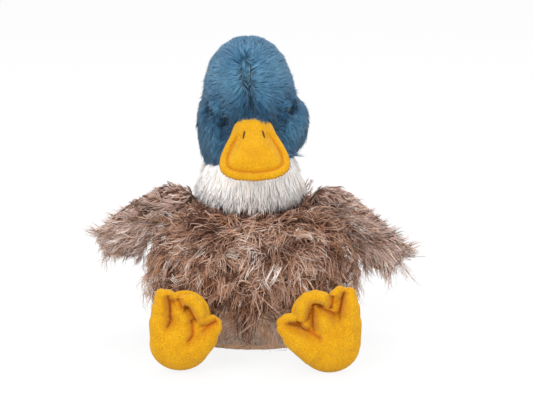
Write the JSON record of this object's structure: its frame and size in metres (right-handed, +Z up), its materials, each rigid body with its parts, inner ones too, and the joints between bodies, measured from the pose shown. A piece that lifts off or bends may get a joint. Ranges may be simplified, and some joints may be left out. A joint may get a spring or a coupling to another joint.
{
  "type": "plush duck",
  "caption": "Seated plush duck with a sprung head, flapping wings, swinging legs and webbed feet.",
  "frame": {"origin": "centre of the flat seat under the body, on the surface that the duck sits on", "axes": "+Z up, the duck looks along -Y, +X is the duck's own left"},
  "size_m": [0.2215, 0.1949, 0.213],
  "materials": {
    "brown_pile": "matte",
    "cream_plush": "matte",
    "white_pile": "matte",
    "blue_plush": "matte",
    "yellow_velour": "matte",
    "filling": "matte",
    "pellet_cloth": "matte",
    "black_plastic": "gloss",
    "clear_plastic": "matte",
    "black_thread": "matte"
  },
  "bodies": {
    "torso": {"body_cover": "brown_pile", "underbody_cover": "cream_plush", "body_stuffing": "filling", "bean_bag": "pellet_cloth"},
    "neck_collar": {"neck_ring": "white_pile"},
    "neck_core": {"neck_stuffing": "filling"},
    "head": {"head_panel_left": "blue_plush", "head_panel_right": "blue_plush", "head_stuffing": "filling", "eye_left": "black_plastic", "eye_right": "black_plastic", "eye_washer_left": "clear_plastic", "eye_washer_right": "clear_plastic", "bill_upper": "yellow_velour", "bill_lower": "yellow_velour", "bill_stuffing": "filling", "nostril_left": "black_thread", "nostril_right": "black_thread"},
    "tail": {"tail_cover": "brown_pile", "tail_stuffing": "filling"},
    "wing_left": {"wing_cover_left": "brown_pile", "wing_stuffing_left": "filling"},
    "leg_left": {"leg_cover_left": "yellow_velour", "leg_stuffing_left": "filling"},
    "foot_left": {"foot_sole_left": "yellow_velour", "foot_instep_left": "yellow_velour", "foot_stuffing_left": "filling"},
    "wing_right": {"wing_cover_right": "brown_pile", "wing_stuffing_right": "filling"},
    "leg_right": {"leg_cover_right": "yellow_velour", "leg_stuffing_right": "filling"},
    "foot_right": {"foot_sole_right": "yellow_velour", "foot_instep_right": "yellow_velour", "foot_stuffing_right": "filling"}
  },
  "joints": [
    {"name": "neck_turn", "type": "hinge", "parent": "torso", "child": "neck_collar", "pos_m": [0, -0.004, 0.116], "axis": [0, 0, 1], "range_deg": [-40, 40], "stiffness_Nm_per_rad": 0.12},
    {"name": "neck_tilt", "type": "hinge", "parent": "neck_collar", "child": "neck_core", "pos_m": [0, -0.004, 0.116], "axis": [0, 1, 0], "range_deg": [-15, 15], "stiffness_Nm_per_rad": 0.15},
    {"name": "head_nod", "type": "hinge", "parent": "neck_core", "child": "head", "pos_m": [0, -0.004, 0.116], "axis": [1, 0, 0], "range_deg": [-20, 20], "stiffness_Nm_per_rad": 0.15},
    {"name": "tail_lift", "type": "hinge", "parent": "torso", "child": "tail", "pos_m": [0, 0.05789, 0.042], "axis": [1, 0, 0], "range_deg": [-12, 12], "stiffness_Nm_per_rad": 0.03},
    {"name": "wing_flap_left", "type": "hinge", "parent": "torso", "child": "wing_left", "pos_m": [0.047, 0, 0.09547], "axis": [0, -1, 0], "range_deg": [-5, 45], "stiffness_Nm_per_rad": 0.08},
    {"name": "leg_swing_left", "type": "hinge", "parent": "torso", "child": "leg_left", "pos_m": [0.038, -0.05, 0.024], "axis": [-1, 0, 0], "range_deg": [-60, 30], "stiffness_Nm_per_rad": 0.06},
    {"name": "foot_tilt_left", "type": "hinge", "parent": "leg_left", "child": "foot_left", "pos_m": [0.045, -0.081, 0.024], "axis": [-1, 0, 0], "range_deg": [-25, 25], "stiffness_Nm_per_rad": 0.04},
    {"name": "wing_flap_right", "type": "hinge", "parent": "torso", "child": "wing_right", "pos_m": [-0.047, 0, 0.09547], "axis": [0, 1, 0], "range_deg": [-5, 45], "stiffness_Nm_per_rad": 0.08},
    {"name": "leg_swing_right", "type": "hinge", "parent": "torso", "child": "leg_right", "pos_m": [-0.038, -0.05, 0.024], "axis": [-1, 0, 0], "range_deg": [-60, 30], "stiffness_Nm_per_rad": 0.06},
    {"name": "foot_tilt_right", "type": "hinge", "parent": "leg_right", "child": "foot_right", "pos_m": [-0.045, -0.081, 0.024], "axis": [-1, 0, 0], "range_deg": [-25, 25], "stiffness_Nm_per_rad": 0.04}
  ]
}
